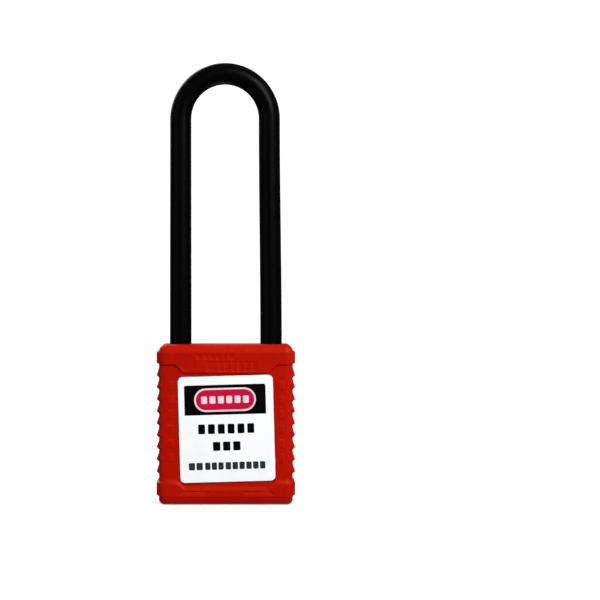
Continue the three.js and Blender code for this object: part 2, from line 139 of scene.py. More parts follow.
def lathe(profile, centre=(0, 0), sides=64):
    """A solid of revolution about an upright axis, from (radius, z) points that run upwards."""
    angles = np.linspace(0, 2 * math.pi, sides, endpoint=False)
    rings = []
    for radius, z in profile:
        x = centre[0] + radius * np.cos(angles)
        y = centre[1] + radius * np.sin(angles)
        rings.append(np.column_stack([x, y, np.full(sides, z)]))
    return loft(rings)


def four(radii):
    """A radius for each corner, from one number or from four."""
    return radii if isinstance(radii, tuple) else (radii,) * 4


def outline(half_width, half_depth, radii, steps=8):
    """Points of a rounded rectangle; radii is one number, or one for each corner from +X -Y."""
    points = []
    for quarter, radius in enumerate(four(radii)):
        start = (quarter - 1) * math.pi / 2
        middle = start + math.pi / 4
        x = math.copysign(half_width - radius, math.cos(middle))
        y = math.copysign(half_depth - radius, math.sin(middle))
        for angle in np.linspace(start, start + math.pi / 2, steps + 1):
            points.append((x + radius * math.cos(angle), y + radius * math.sin(angle)))
    return np.array(points)


def block(half_width, half_depth, radii, levels, centre=(0, 0), steps=8):
    """A rounded rectangle raised through (z, inset) levels."""
    rings = []
    for z, inset in levels:
        inner = tuple(max(radius - inset, LEAST_RADIUS) for radius in four(radii))
        points = outline(half_width - inset, half_depth - inset, inner, steps) + np.array(centre)
        rings.append(np.column_stack([points, np.full(len(points), z)]))
    return loft(rings)


def brick(low, high):
    """A plain box, used as a cutting tool."""
    (x0, y0, z0), (x1, y1, z1) = low, high
    ring = [(x0, y0), (x1, y0), (x1, y1), (x0, y1)]
    return loft([np.array([(x, y, z) for x, y in ring]) for z in (z0, z1)])


def ladder(spacing):
    """The heights of evenly spaced features."""
    return [spacing["first"] + index * spacing["pitch"] for index in range(spacing["count"])]


def ease(share):
    """A smooth step from 0 to 1."""
    t = np.clip(share, 0, 1)
    return t * t * (3 - 2 * t)


def add_object(name, data):
    """A new object, linked to the scene."""
    made = bpy.data.objects.new(name, data)
    bpy.context.scene.collection.objects.link(made)
    return made


def mesh_object(name, parts):
    """An object from ((vertices, faces), look) parts, which share one mesh."""
    vertices, faces, slots, looks = [], [], [], []
    for (points, polygons), look in parts:
        start = sum(len(v) for v in vertices)
        vertices.append(np.asarray(points))
        faces += [tuple(start + i for i in polygon) for polygon in polygons]
        if look not in looks:
            looks.append(look)
        slots += [looks.index(look)] * len(polygons)
    mesh = bpy.data.meshes.new(name)
    mesh.from_pydata((np.concatenate(vertices) * MM).tolist(), [], faces)
    for look in looks:
        mesh.materials.append(look)
    mesh.polygons.foreach_set("material_index", slots)
    mesh.update()
    return add_object(name, mesh)


def combine(target, operation, shapes):
    """Applies closed shapes to an object one after another."""
    for shape in shapes:
        tool = mesh_object("tool", [(shape, target.data.materials[0])])
        change = target.modifiers.new("change", "BOOLEAN")
        change.operation = operation
        change.solver = "MANIFOLD"
        change.object = tool
        graph = bpy.context.evaluated_depsgraph_get()
        target.data = bpy.data.meshes.new_from_object(target.evaluated_get(graph))
        target.modifiers.clear()
        bpy.data.objects.remove(tool)


def carve(target, *shapes):
    """Takes closed shapes out of an object."""
    combine(target, "DIFFERENCE", shapes)


def fuse(target, *shapes):
    """Joins closed shapes to an object that they overlap."""
    combine(target, "UNION", shapes)


def merge_slivers(target):
    """Merges points that nearly meet and drops the faces that this flattens."""
    edit = bmesh.new()
    edit.from_mesh(target.data)
    bmesh.ops.remove_doubles(edit, verts=edit.verts, dist=SLIVER * MM)
    bmesh.ops.dissolve_degenerate(edit, edges=edit.edges, dist=SLIVER * MM)
    edit.to_mesh(target.data)
    edit.free()


def lay(shape, z):
    """Lays an upright shape along -X at a height."""
    points, faces = shape
    return np.column_stack([-points[:, 2], points[:, 1], z + points[:, 0]]), faces


def shade(target, angle):
    """Smooth shading that keeps the edges sharper than an angle crisp."""
    target.data.shade_smooth()
    target.data.set_sharp_from_angle(angle=math.radians(angle))
    weighting = target.modifiers.new("weighting", "WEIGHTED_NORMAL")
    weighting.keep_sharp = True


def place(target, body, slot, node, angle=40):
    """Shades a finished piece, hangs it on its body and hides its CAD node; slot is not used."""
    shade(target, angle)
    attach(target, body)
    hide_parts(node)


def finished(name, shape, look, *placing, angle=40):
    """A piece made of one shape and placed."""
    place(mesh_object(name, [(shape, look)]), *placing, angle=angle)


# ---- Looks ----


class Nodes:
    """A tree of shader nodes."""

    def __init__(self, tree):
        self.tree = tree

    def link(self, value, socket):
        """Feeds a socket from a node's output, or sets it to a plain value."""
        if isinstance(value, bpy.types.NodeSocket):
            self.tree.links.new(value, socket)
        else:
            socket.default_value = value

    def node(self, kind, sockets=None, **settings):
        """A new node with its settings made and its sockets fed."""
        made = self.tree.nodes.new(kind)
        for key, value in settings.items():
            setattr(made, key, value)
        for key, value in (sockets or {}).items():
            self.link(value, made.inputs[key])
        return made

    def remap(self, value, low, high, start=0.3, end=0.7):
        """A value between start and end, stretched to run from low to high."""
        sockets = {"Value": value, "From Min": start, "From Max": end, "To Min": low, "To Max": high}
        return self.node("ShaderNodeMapRange", sockets).outputs["Result"]

    def product(self, first, second):
        made = self.node("ShaderNodeMath", {0: first, 1: second}, operation="MULTIPLY")
        return made.outputs["Value"]

    def mix(self, share, first, second):
        """A colour between two, each either a colour or the output of a node."""
        # A colour mix takes its colours at sockets 6 and 7 and gives the result at output 2.
        made = self.node("ShaderNodeMix", {0: share, 6: first, 7: second}, data_type="RGBA")
        return made.outputs[2]


class Look(Nodes):
    """A procedural material round one Principled shader, in object space."""

    def __init__(self, name, **settings):
        self.material = bpy.data.materials.new(name)
        self.material.use_nodes = True
        super().__init__(self.material.node_tree)
        self.shader = self.tree.nodes["Principled BSDF"]
        self.position = self.node("ShaderNodeTexCoord").outputs["Object"]
        for socket, value in settings.items():
            self.link(value, self.shader.inputs[socket.replace("_", " ")])

    def noise(self, size, detail=3, stretch=(1, 1, 1)):
        """Noise whose features are about size millimetres across, before stretching."""
        sockets = {"Vector": self.position, "Scale": [1 / s for s in stretch]}
        mapping = self.node("ShaderNodeMapping", sockets)
        sockets = {"Vector": mapping.outputs["Vector"], "Scale": 1 / (size * MM), "Detail": detail}
        return self.node("ShaderNodeTexNoise", sockets).outputs["Fac"]

    def edges(self):
        """How far a point stands out on an edge, from 0 to 1."""
        pointiness = self.node("ShaderNodeNewGeometry").outputs["Pointiness"]
        return self.remap(pointiness, 0, 1, 0.515, 0.56)

    def bump(self, *layers):
        """Stacks (height, depth in millimetres) layers into the shader's normal."""
        sockets = {}
        for height, depth in layers:
            sockets.update({"Height": height, "Distance": depth * MM})
            sockets["Normal"] = self.node("ShaderNodeBump", sockets).outputs["Normal"]
        self.link(sockets["Normal"], self.shader.inputs["Normal"])

    def paint(self, colour):
        self.link(colour, self.shader.inputs["Base Color"])

    def roughen(self, roughness):
        self.link(roughness, self.shader.inputs["Roughness"])


def moulded_look(name, base, shifted, worn_and_highlight, roughness, specular, grain=0.12, tint=(1, 1, 1, 1)):
    """Moulded nylon: a spark-eroded grain, slow colour drift, faint scuffs, and edges painted lighter,
    partly as rub wear and partly as a painted highlight.
    """
    look = Look(name, Specular_IOR_Level=specular, Specular_Tint=tint)
    drift = look.remap(look.noise(14, detail=4), 0, 1)
    scuff = look.remap(look.noise(0.5, stretch=(1, 1, 14)), 0, 1, 0.62, 0.8)
    # Convex edges take the lighter colour: rub wear, and a painted highlight where edges catch the light.
    rub_and_highlight = look.product(look.edges(), look.remap(look.noise(2.5), 0.1, 0.9))
    body = look.mix(drift, base, shifted)
    look.paint(look.mix(look.product(scuff, 0.25), look.mix(rub_and_highlight, body, worn_and_highlight), worn_and_highlight))
    look.roughen(look.remap(look.noise(1.6, detail=5), *roughness))
    look.bump((look.noise(grain, detail=2), 0.012), (look.noise(3, detail=2), 0.02))
    return look.material


def metal_look(name, base, shifted, roughness, stretch, streak=0.2):
    """Machined or drawn metal: fine tool marks along one direction and a light tarnish."""
    look = Look(name, Metallic=1.0)
    tarnish = look.remap(look.noise(2.2, detail=5), 0, 1)
    marks = look.noise(streak, detail=4, stretch=stretch)
    # Edges are painted a quarter lighter: partly rub wear, partly a painted highlight.
    rub_and_highlight = look.edges()
    look.paint(look.mix(rub_and_highlight, look.mix(tarnish, base, shifted), [min(1, c * 1.25) for c in base]))
    look.roughen(look.remap(marks, *roughness))
    look.bump((marks, 0.006), (look.noise(0.9), 0.004))
    return look.material


def vinyl_look(name, base, shifted, roughness=(0.3, 0.42), specular=0.3):
    """Printed label vinyl under a thin laminate, with a faint orange peel and handling marks."""
    look = Look(name, Specular_IOR_Level=specular)
    smudge = look.remap(look.noise(6, detail=4), 0, 1)
    look.paint(look.mix(smudge, base, shifted))
    look.roughen(look.remap(look.noise(1.3, detail=5), *roughness))
    look.bump((look.noise(0.35, detail=2), 0.003), (look.noise(5, detail=1), 0.012))
    return look.material


def srgb(red, green, blue):
    """Linear opaque colour from the 0 to 255 numbers of a display colour."""
    shares = np.array([red, green, blue]) / 255
    linear = np.where(shares <= 0.04045, shares / 12.92, ((shares + 0.055) / 1.055) ** 2.4)
    return (*linear, 1)


WARM = (1, 0.5, 0.22, 1)  # the red moulding's highlights stay orange, not pink
# Each nylon's third colour is lighter: scuffs and rubbed edges, and on the edges also a painted highlight.
RED_NYLON = moulded_look(
    "red_nylon", srgb(172, 13, 1), srgb(164, 11, 1), srgb(196, 38, 12), (0.36, 0.5), 0.13, tint=WARM
)
BLACK_NYLON = moulded_look(
    "black_nylon", srgb(3, 3, 3), srgb(3, 3, 3), srgb(9, 9, 10), (0.28, 0.38), 0.045, grain=0.18
)
GREY_NYLON = moulded_look(
    "grey_nylon", srgb(74, 77, 80), srgb(66, 69, 72), srgb(98, 100, 103), (0.4, 0.55), 0.4
)
NICKEL = metal_look(
    "brushed_nickel", srgb(205, 203, 196), srgb(184, 181, 172), (0.2, 0.36), (12, 1, 1), 0.12
)
STEEL = metal_look("bright_steel", srgb(190, 192, 195), srgb(170, 173, 177), (0.22, 0.38), (1, 1, 8))
BRASS = metal_look("turned_brass", srgb(206, 168, 92), srgb(184, 142, 70), (0.24, 0.4), (8, 1, 1))
WHITE_VINYL = vinyl_look("white_vinyl", srgb(245, 246, 248), srgb(238, 241, 241))
BLACK_INK = vinyl_look("black_ink", srgb(3, 3, 4), srgb(6, 6, 7), specular=0.06)
GREY_INK = vinyl_look("grey_ink", srgb(38, 38, 42), srgb(48, 48, 52), specular=0.15)
CRIMSON_INK = vinyl_look("crimson_ink", srgb(192, 12, 58), srgb(182, 10, 54), specular=0.15)
# A dark red painted shadow line round each label's edge.
LABEL_SHADOW_PAINT = vinyl_look("painted_label_shadow", srgb(96, 10, 4), srgb(78, 8, 4), (0.5, 0.6), 0.1)
PINK_INK = vinyl_look("pale_pink_ink", srgb(244, 206, 218), srgb(240, 198, 211))


# ---- Body moulding ----

BAND = {"low": (2.4, 6.6), "high": (40.4, 44.2), "lead": 0.3, "height": 0.7}
TEETH = {"count": 9, "first": 9.35, "pitch": 3.46}
# One grip tooth as (height over its crest, share of the full height): steep below, slow above.
TOOTH = [(-0.62, 0), (-0.44, 0.12), (-0.14, 0.72), (0.08, 0.94), (0.3, 0.94)]
TOOTH += [(0.8, 0.72), (1.4, 0.42), (2.0, 0.14), (2.5, 0)]
PANEL = {"depth": 0.45, "side": (6.6, 40.2), "middle": (4.8, 37.8), "shoulder": 14.4, "slant": 2.5}
PANEL["shift"] = 0.3  # the upper shoulders stand this much further out than the lower ones
PANEL["lower_ramp"] = 1.6  # the panel rises gently to its lower edge
FACE = {"low": 2.1, "high": 44.1, "step": 0.2}  # the front stands proud between these heights
RAMP = 0.35  # width of the moulding's soft steps
# A shallow scoop each side: sharp along the top, fading downwards and towards the middle.
SLOT = {"from": 5.2, "fade": 2.4, "to": 13.9, "low": 3.1, "low_fade": 1.2, "high": 3.85}
SLOT.update({"high_fade": 0.3, "depth": 0.24, "bend": 12.6, "drop": 0.8})
# The blank name: two rows of sunk blocks, each (left end, low, high, widths).
NAME = {"gap": 0.5, "depth": 0.12, "ramp": 0.25}
NAME["groups"] = [(-8.3, 41.8, 43.2, (1.5, 1.1, 1.5, 1.3, 1.1, 1.4))]
NAME["groups"].append((-5.4, 38.2, 41.2, (2.6, 1.5, 1.5, 1.2, 1.6, 1.4, 1.6)))
DISC = {"x": -11.1, "z": 40.75, "radius": 2.2, "depth": 0.1}  # the blank round mark beside it
# Plain raised pips up each side strip.
PIP = {"x": 15.9, "half": 0.85, "tall": 1.15, "height": 0.08, "ramp": 0.3}
PIP.update({"first": 13.4, "pitch": 4.15, "count": 6})
GRID = 0.5  # the moulding's widest grid spacing; steps and slants get finer lines
LEAST_GAP = 0.04  # grid lines closer than this are left out


def plateau(value, low, high, ramp=RAMP):
    """1 between two ends, easing to 0 over a ramp centred on each."""
    return ease((value - low) / ramp + 0.5) * ease((high - value) / ramp + 0.5)


def side_profile():
    """(z, share) points up the side: 0 on the wall, 1 on the bands and the grip teeth's crests."""
    points = []
    for low, high in (BAND["low"], BAND["high"]):
        lead = BAND["lead"]
        points += [(low, 0), (low + lead, 1), (high - lead, 1), (high, 0)]
    for crest in ladder(TEETH):
        points += [(crest + rise, share) for rise, share in TOOTH]
    return sorted(points)


def name_blocks():
    """(left, right, low, high) of each sunk block of the blank name."""
    places = []
    for left, low, high, widths in NAME["groups"]:
        for width in widths:
            places.append((left, left + width, low, high))
            left += width + NAME["gap"]
    return places


def scoop(across, z):
    """Share of a scoop's depth: its upper edge turns down at the outer end."""
    bend = SLOT["drop"] * ease((across - SLOT["bend"]) / (SLOT["to"] - SLOT["bend"]))
    inner = ease((across - SLOT["from"]) / SLOT["fade"] + 0.5)
    outer = ease((SLOT["to"] - across) / RAMP + 0.5)
    foot = ease((z - SLOT["low"]) / SLOT["low_fade"] + 0.5)
    return inner * outer * foot * ease((SLOT["high"] - bend - z) / SLOT["high_fade"] + 0.5)


def front_relief(x, z):
    """How far the front and back faces lie behind the bands' face."""
    across = abs(x)
    slant = PANEL["slant"]
    shoulder = PANEL["shoulder"]
    lower = np.interp(across, [shoulder - slant, shoulder], [PANEL["middle"][0], PANEL["side"][0]])
    shoulder += PANEL["shift"]
    upper = np.interp(across, [shoulder - slant, shoulder], [PANEL["middle"][1], PANEL["side"][1]])
    relief = FACE["step"] * (1 - plateau(z, FACE["low"], FACE["high"]))
    rise = ease((z - lower) / PANEL["lower_ramp"] + 0.5)
    relief = relief + PANEL["depth"] * rise * ease((upper - z) / RAMP + 0.5)
    relief += SLOT["depth"] * scoop(across, z)
    for left, right, low, high in name_blocks():
        sunk = plateau(x, left, right, NAME["ramp"]) * plateau(z, low, high, NAME["ramp"])
        relief += NAME["depth"] * sunk
    out = np.hypot(x - DISC["x"], z - DISC["z"])
    relief += DISC["depth"] * ease((DISC["radius"] - out) / NAME["ramp"] + 0.5)
    for height in ladder(PIP):
        raised = plateau(across, PIP["x"] - PIP["half"], PIP["x"] + PIP["half"], PIP["ramp"])
        tall = plateau(z, height - PIP["tall"], height + PIP["tall"], PIP["ramp"])
        relief -= PIP["height"] * raised * tall
    return relief


def fill(keys):
    """Sorted grid lines through the keys, with no two further apart than the grid's spacing."""
    keys = sorted(set(round(float(k), 3) for k in keys))
    kept = [keys[0]]
    for key in keys[1:]:
        if key - kept[-1] < LEAST_GAP:
            continue
        steps = max(1, math.ceil((key - kept[-1]) / GRID))
        kept += list(np.linspace(kept[-1], key, steps + 1)[1:])
    return np.array(kept)


def around(values, ramp=RAMP):
    """Grid lines across soft steps centred on some values."""
    return [v + share * ramp for v in values for share in (-0.5, 0, 0.5)]


def across_steps(low, high, spare, spacing):
    """Evenly spaced grid lines over a stretch and a spare width at each end."""
    return np.arange(low - spare, high + spare, spacing).tolist()


def disc_lines(centre):
    return across_steps(centre, centre, DISC["radius"], 0.22)


def body_levels():
    """The heights of the moulding's rows, each with its fillet inset."""
    angles = np.linspace(0, math.pi / 2, 9)
    fillet = [(1 - math.sin(a), 1 - math.cos(a)) for a in angles]
    low = [(BOTTOM_FILLET * rise, BOTTOM_FILLET * inset) for rise, inset in reversed(fillet)]
    high = [(HEIGHT - TOP_FILLET * rise, TOP_FILLET * inset) for rise, inset in fillet]
    keys = [low[-1][0], high[0][0], *(z for z, _ in side_profile())]
    keys += around([FACE["low"], FACE["high"]])
    keys += across_steps(PANEL["middle"][0], PANEL["side"][0], 0.8, 0.2)
    keys += across_steps(PANEL["middle"][1], PANEL["side"][1], 0.2, 0.14)
    keys += np.arange(SLOT["high"] - SLOT["drop"] - 0.15, SLOT["high"] + 0.16, 0.12).tolist()
    keys += disc_lines(DISC["z"])
    for _, bottom, top, _ in NAME["groups"]:
        keys += around([bottom, top], NAME["ramp"])
    for height in ladder(PIP):
        keys += around([height - PIP["tall"], height + PIP["tall"]], PIP["ramp"])
    between = [k for k in keys if low[-1][0] <= k <= high[0][0]]
    return low[:-1] + [(z, 0) for z in fill(between)] + high[1:]


def front_columns():
    """X positions of the columns across the flat front."""
    edge = HALF_WIDTH - CORNER
    keys = around([SLOT["to"]])
    keys += np.arange(PANEL["shoulder"] - PANEL["slant"] - 0.15, PANEL["shoulder"] + 0.5, 0.15).tolist()
    keys += around([PIP["x"] - PIP["half"], PIP["x"] + PIP["half"]], PIP["ramp"])
    keys += [-k for k in keys]
    keys += disc_lines(DISC["x"])
    for left, right, _, _ in name_blocks():
        keys += around([left, right], NAME["ramp"])
    return fill([-edge, edge, *(k for k in keys if abs(k) < edge)])


def perimeter():
    """Anchor points and outward normals of the moulding's columns, from the front left."""
    edge_x = HALF_WIDTH - CORNER
    edge_y = HALF_DEPTH - CORNER
    front = front_columns()
    side = np.linspace(-edge_y, edge_y, 9)
    arc = np.linspace(0, math.pi / 2, 11)[1:-1]
    anchors, normals = [], []
    for quarter in range(4):
        turn = quarter * math.pi / 2
        s, c = math.sin(turn), math.cos(turn)
        run, offset = (side, edge_x) if quarter % 2 else (front, edge_y)
        for along in run:
            anchors.append((along * c + offset * s, along * s - offset * c))
            normals.append((s, -c))
        corner = anchors[-1]
        for angle in arc:
            anchors.append(corner)
            normals.append((math.sin(turn + angle), -math.cos(turn + angle)))
    return np.array(anchors), np.array(normals)


def body_shape():
    anchors, normals = perimeter()
    profile = side_profile()
    rings = []
    for z, inset in body_levels():
        share = np.interp(z, [p[0] for p in profile], [p[1] for p in profile])
        side = BAND["height"] * (1 - share)
        x = anchors[:, 0] + CORNER * normals[:, 0]
        relief = side * normals[:, 0] ** 4 + front_relief(x, z) * normals[:, 1] ** 2
        reach = CORNER - inset - relief
        points = anchors + normals * reach[:, None]
        rings.append(np.column_stack([points, np.full(len(points), z)]))
    return loft(rings)


def bore_tool(x):
    """A leg's blind bore, with a chamfered mouth."""
    mouth = BORE_RADIUS + BORE_MOUTH
    profile = [(BORE_RADIUS, SPRING_LOW.z - 0.1), (BORE_RADIUS, HEIGHT - BORE_MOUTH)]
    profile += [(mouth, HEIGHT), (mouth, HEIGHT + BEYOND)]
    return lathe(profile, (x, 0))


RIVET = {"head": RIVET_HIGH.y, "shank": 1.2, "rim": 0.3, "cone": 0.9}
RIVET["x"] = (RIVET_LOW.x + RIVET_HIGH.x) / 2


def rivet_tool(x):
    """A countersunk hole for a rivet, with room round it."""
    bottom = RIVET_LOW.z
    head, shank = RIVET["head"] + SLIDE, RIVET["shank"] + SLIDE
    profile = [(head, -BEYOND), (head, bottom + RIVET["rim"])]
    profile += [(shank, bottom + RIVET["cone"]), (shank, RIVET_HIGH.z + SLIDE)]
    return lathe(profile, (x, 0), 48)


def latch_window(side):
    """The opening from the cavity into a leg's bore."""
    ends = sorted((side * (HOUSING_HIGH.x - FIT), side * (LATCH_HIGH.x - 0.1)))
    half = LATCH_HIGH.z - LATCH_LOW.z
    low = (ends[0], -half, LATCH_LOW.z - FIT)
    return brick(low, (ends[1], half, LATCH_HIGH.z + SLIDE))


def make_body():
    body = mesh_object("body_moulding", [(body_shape(), RED_NYLON)])
    cavity_x = HOUSING_HIGH.x + FIT
    cavity_y = HOUSING_HIGH.y + FIT
    cavity_top = LATCH_HIGH.z + 0.2
    seat_top = COVER_HIGH.z + SLIDE
    lip = 0.25  # chamfer round the cover's seat
    seat = [(-BEYOND, -lip), (0, -lip), (lip, 0), (seat_top, 0)]
    carve(
        body,
        block(cavity_x, cavity_y, CAVITY_CORNER, [(-BEYOND, 0), (cavity_top, 0)]),
        block(COVER_HIGH.x + SLIDE, COVER_HIGH.y + SLIDE, COVER_CORNER, seat),
        bore_tool(-LEG_X),
        bore_tool(LEG_X),
        latch_window(-1),
        latch_window(1),
        rivet_tool(-RIVET["x"]),
        rivet_tool(RIVET["x"]),
    )
    place(body, "housing", "body_nylon", "body_shell", angle=50)


# ---- Underside ----

PLUG = {"radius": 3.5, "head": PLUG_HIGH.x, "head_top": 2.8, "rear": 32.3, "tang": 1.7}
PLUG["groove"] = (31.1, 32.0, 2.8)  # the clip groove's bottom, top and radius
KEYWAY = {"low": -2.5, "high": 3.0, "jog": 0.1, "half": 1.1, "overlap": 0.5, "depth": 28.0}
PINS = {"first": 7.4, "pitch": 3.6, "count": 6, "hole": 1.15, "chamber": 1.2}
PIN_SPRING = (0.12, 4, 0.25)  # wire radius, turns and the share that each end turn climbs


def make_cover():
    low, high = COVER_LOW.z, COVER_HIGH.z
    levels = [(low, 0.3), (low + 0.09, 0.09), (low + 0.3, 0), (high - 0.2, 0), (high, 0.2)]
    slab = block(COVER_HIGH.x, COVER_HIGH.y, COVER_CORNER, levels, steps=14)
    cover = mesh_object("cover_plate", [(slab, RED_NYLON)])
    hole = PLUG["head"] + FIT
    plug_hole = [(hole + 0.35, -BEYOND), (hole + 0.35, low), (hole, low + 0.35), (hole, high + BEYOND)]
    carve(cover, lathe(plug_hole), rivet_tool(-RIVET["x"]), rivet_tool(RIVET["x"]))
    place(cover, "housing", "body_nylon", "bottom_cover", angle=50)


def make_rivets():
    """Countersunk rivets with a shallow domed, dimpled head."""
    bottom, top = RIVET_LOW.z, RIVET_HIGH.z
    head, shank = RIVET["head"], RIVET["shank"]
    # The dimple, the dome and its rim, then the cone and the shank.
    profile = [(0.25, bottom + 0.22), (0.7, bottom + 0.12), (0.95, bottom + 0.01), (1.3, bottom)]
    profile += [(head - 0.25, bottom + 0.04), (head - 0.06, bottom + 0.1), (head, bottom + 0.2)]
    profile += [(head, bottom + RIVET["rim"]), (shank, bottom + RIVET["cone"]), (shank, top - 0.25)]
    profile.append((shank - 0.25, top))
    for side, name in ((-1, "left"), (1, "right")):
        rivet = lathe(profile, (side * RIVET["x"], 0), 48)
        finished(f"rivet_{name}", rivet, STEEL, "housing", "steel", f"cover_rivet_{name}", angle=50)


def make_plug():
    """The plug: chamfered face, warded keyway, pin holes, clip groove and a square tang."""
    bottom = PLUG_LOW.z
    head, radius, rear = PLUG["head"], PLUG["radius"], PLUG["rear"]
    groove_low, groove_high, groove_radius = PLUG["groove"]
    profile = [(head - 0.4, bottom), (head, bottom + 0.4), (head, PLUG["head_top"])]
    profile += [(radius, PLUG["head_top"]), (radius, groove_low), (groove_radius, groove_low)]
    profile += [(groove_radius, groove_high), (radius, groove_high)]
    profile += [(radius, rear - 0.2), (radius - 0.2, rear)]
    plug = mesh_object("key_plug", [(lathe(profile), NICKEL)])
    levels = [(rear - 0.5, 0), (PLUG_HIGH.z - 0.2, 0), (PLUG_HIGH.z, 0.2)]
    fuse(plug, block(PLUG["tang"], PLUG["tang"], 0.2, levels))
    jog, half, overlap, depth = KEYWAY["jog"], KEYWAY["half"], KEYWAY["overlap"], KEYWAY["depth"]
    hole = lathe([(PINS["hole"], 0), (PINS["hole"], radius + BEYOND)], sides=32)
    holes = [lay(hole, z) for z in ladder(PINS)]
    carve(
        plug,
        brick((KEYWAY["low"], -half, -BEYOND), (jog, overlap, depth)),
        brick((-jog, -overlap, -BEYOND), (KEYWAY["high"], half, depth)),
        *holes,
    )
    place(plug, "plug_core", "nickel_plate", "plug", angle=35)


# ---- Shackle ----

NOTCH = {"floor": 11.7, "top": 43.35, "low": 40.1, "mouth": 37.0}
HEEL = {"flat": -11.3, "top": 43.35, "ring": 2.9, "ring_radius": 1.7}
HEEL["bottom"] = LATCH_LOW.z - 10.2
HEEL["ring_drop"] = 0.02  # the ring starts this far below the flat, so that no two faces are level
HEEL_SPRING = {"wire": 0.3, "turns": 7, "end_rise": 0.06}


def round_bar(path, radii, sides, axes):
    """A round bar along a path; axes gives two directions across it from a point and tangent."""
    angles = np.linspace(0, 2 * math.pi, sides, endpoint=False)
    rings = []
    for index, (centre, radius) in enumerate(zip(path, radii)):
        before, after = path[max(index - 1, 0)], path[min(index + 1, len(path) - 1)]
        first, second = axes(centre, (after - before).normalized())
        spokes = [radius * (math.cos(a) * first + math.sin(a) * second) for a in angles]
        rings.append(np.array([centre + spoke for spoke in spokes]))
    return loft(rings)


def revolve(section, angles, x=0, closed=False):
    """A section of (radius, z) points carried round an upright axis."""
    rings = []
    for angle in angles:
        c, s = math.cos(angle), math.sin(angle)
        rings.append(np.array([(x + r * c, r * s, z) for r, z in section]))
    return loft(rings, closed)


def shackle_path():
    """The bar's centre line, with its radius at each point."""
    heel = SHACKLE_LOW.z
    up = [heel, heel + END_CHAMFER, *np.linspace(heel + 3, BEND_Z, 20)]
    down = [*np.linspace(BEND_Z, TOE_END + 3, 18), TOE_END + END_CHAMFER, TOE_END]
    path = [Vector((-LEG_X, 0, z)) for z in up]
    for angle in np.linspace(math.pi, 0, 65)[1:-1]:
        path.append(Vector((LEG_X * math.cos(angle), 0, BEND_Z + LEG_X * math.sin(angle))))
    path += [Vector((LEG_X, 0, z)) for z in down]
    radii = [LEG_RADIUS] * len(path)
    radii[0] = radii[-1] = LEG_RADIUS - END_CHAMFER
    return path, radii


def lean(points):
    """Draws the free leg a little towards the sprung one above the body."""
    height = np.clip((points[:, 2] - HEIGHT) / (BEND_Z - HEIGHT), 0, 1)
    share = (points[:, 0] + LEG_X) / (2 * LEG_X)
    points[:, 0] -= LEAN * ease(height) * share
    return points


def notch_tool():
    """Square above the latch, sloped below it."""
    surface = LEG_X - LEG_RADIUS
    slope = (NOTCH["low"] - NOTCH["mouth"]) / (NOTCH["floor"] - surface)
    out = surface - BEYOND
    corners = [(out, NOTCH["mouth"] - slope * BEYOND), (NOTCH["floor"], NOTCH["low"])]
    corners += [(NOTCH["floor"], NOTCH["top"]), (out, NOTCH["top"])]
    reach = LEG_RADIUS + BEYOND
    return loft([np.array([(x, y, z) for x, z in corners]) for y in (reach, -reach)])


def make_shackle():
    across = Vector((0, 1, 0))

    def axes(_, tangent):
        return across.cross(tangent), across

    points, faces = round_bar(*shackle_path(), 56, axes)
    shackle = mesh_object("shackle_bar", [((lean(points), faces), BLACK_NYLON)])
    reach = LEG_RADIUS + BEYOND
    flat = brick((HEEL["flat"], -reach, HEEL["bottom"]), (HEEL["flat"] + reach, reach, HEEL["top"]))
    ring_top = HEEL["bottom"] + HEEL["ring"]
    carve(shackle, notch_tool(), flat, ring_tool(HEEL["bottom"] - HEEL["ring_drop"], ring_top))
    merge_slivers(shackle)
    place(shackle, "shackle_bow", "shackle_nylon", "shackle", angle=35)


def ring_tool(low, high):
    """The swivel groove round the heel, as a ring to take away."""
    # Turned a little so that its corners miss those of the round leg.
    angles = np.linspace(0, 2 * math.pi, 48, endpoint=False) + math.pi / 336
    inner, outer = HEEL["ring_radius"], LEG_RADIUS + BEYOND
    section = [(inner, high), (outer, high), (outer, low), (inner, low)]
    return revolve(section, angles, -LEG_X, closed=True)


def coil(radius, wire, turns, low, high, end_rise, sides=12, steps=40):
    """An upright compression spring; end_rise is the share that each end turn climbs."""
    path = []
    for turned in np.linspace(0, turns, turns * steps + 1):
        angle = turned * 2 * math.pi
        rise = np.interp(turned, [0, 1, turns - 1, turns], [0, end_rise, 1 - end_rise, 1])
        x, y = radius * math.cos(angle), radius * math.sin(angle)
        path.append(Vector((x, y, low + rise * (high - low))))

    def axes(point, tangent):
        outward = Vector((point.x, point.y, 0)).normalized()
        return outward, tangent.cross(outward)

    return round_bar(path, [wire] * len(path), sides, axes)


def make_heel_spring():
    """The shackle's compression spring, with closed end coils."""
    wire = HEEL_SPRING["wire"]
    radius = (SPRING_HIGH.x - SPRING_LOW.x) / 2 - wire
    ends = (SPRING_LOW.z + wire, SPRING_HIGH.z - wire)
    points, faces = coil(radius, wire, HEEL_SPRING["turns"], *ends, HEEL_SPRING["end_rise"])
    points = points + np.array((-LEG_X, 0, 0))
    spring = mesh_object("heel_spring", [((points, faces), STEEL)])
    shade(spring, 50)
    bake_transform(spring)
    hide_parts("shackle_spring")


# ---- Labels ----

LABEL = {"width": 27.3, "height": 30.4, "radius": 1.4, "tilt": math.radians(1.6), "print": 0.02}
LABEL["base"] = -0.03  # the sheet's printed face, behind the furthest that the print stands out
LABEL["x"] = (LABEL_LOW.x + LABEL_HIGH.x) / 2
LABEL["z"] = (LABEL_LOW.z + LABEL_HIGH.z) / 2
LABEL["back"] = -LABEL_HIGH.y  # distance of the sheet's back from the body's middle plane
LABEL["face"] = -LABEL_LOW.y


def plate(centre, size, radii, low, high, soften):
    """A thin rounded plate in label coordinates: across, up and out from the sheet's face."""
    levels = [(low, 0), (high - soften, 0), (high, soften)]
    return block(size[0] / 2, size[1] / 2, radii, levels, centre)


def printed(centre, size, radii, top, ink, low=LABEL["base"] - 0.02):
    """One printed shape in its ink; it starts a little inside the sheet."""
    return plate(centre, size, radii, low, top, 0.004), ink


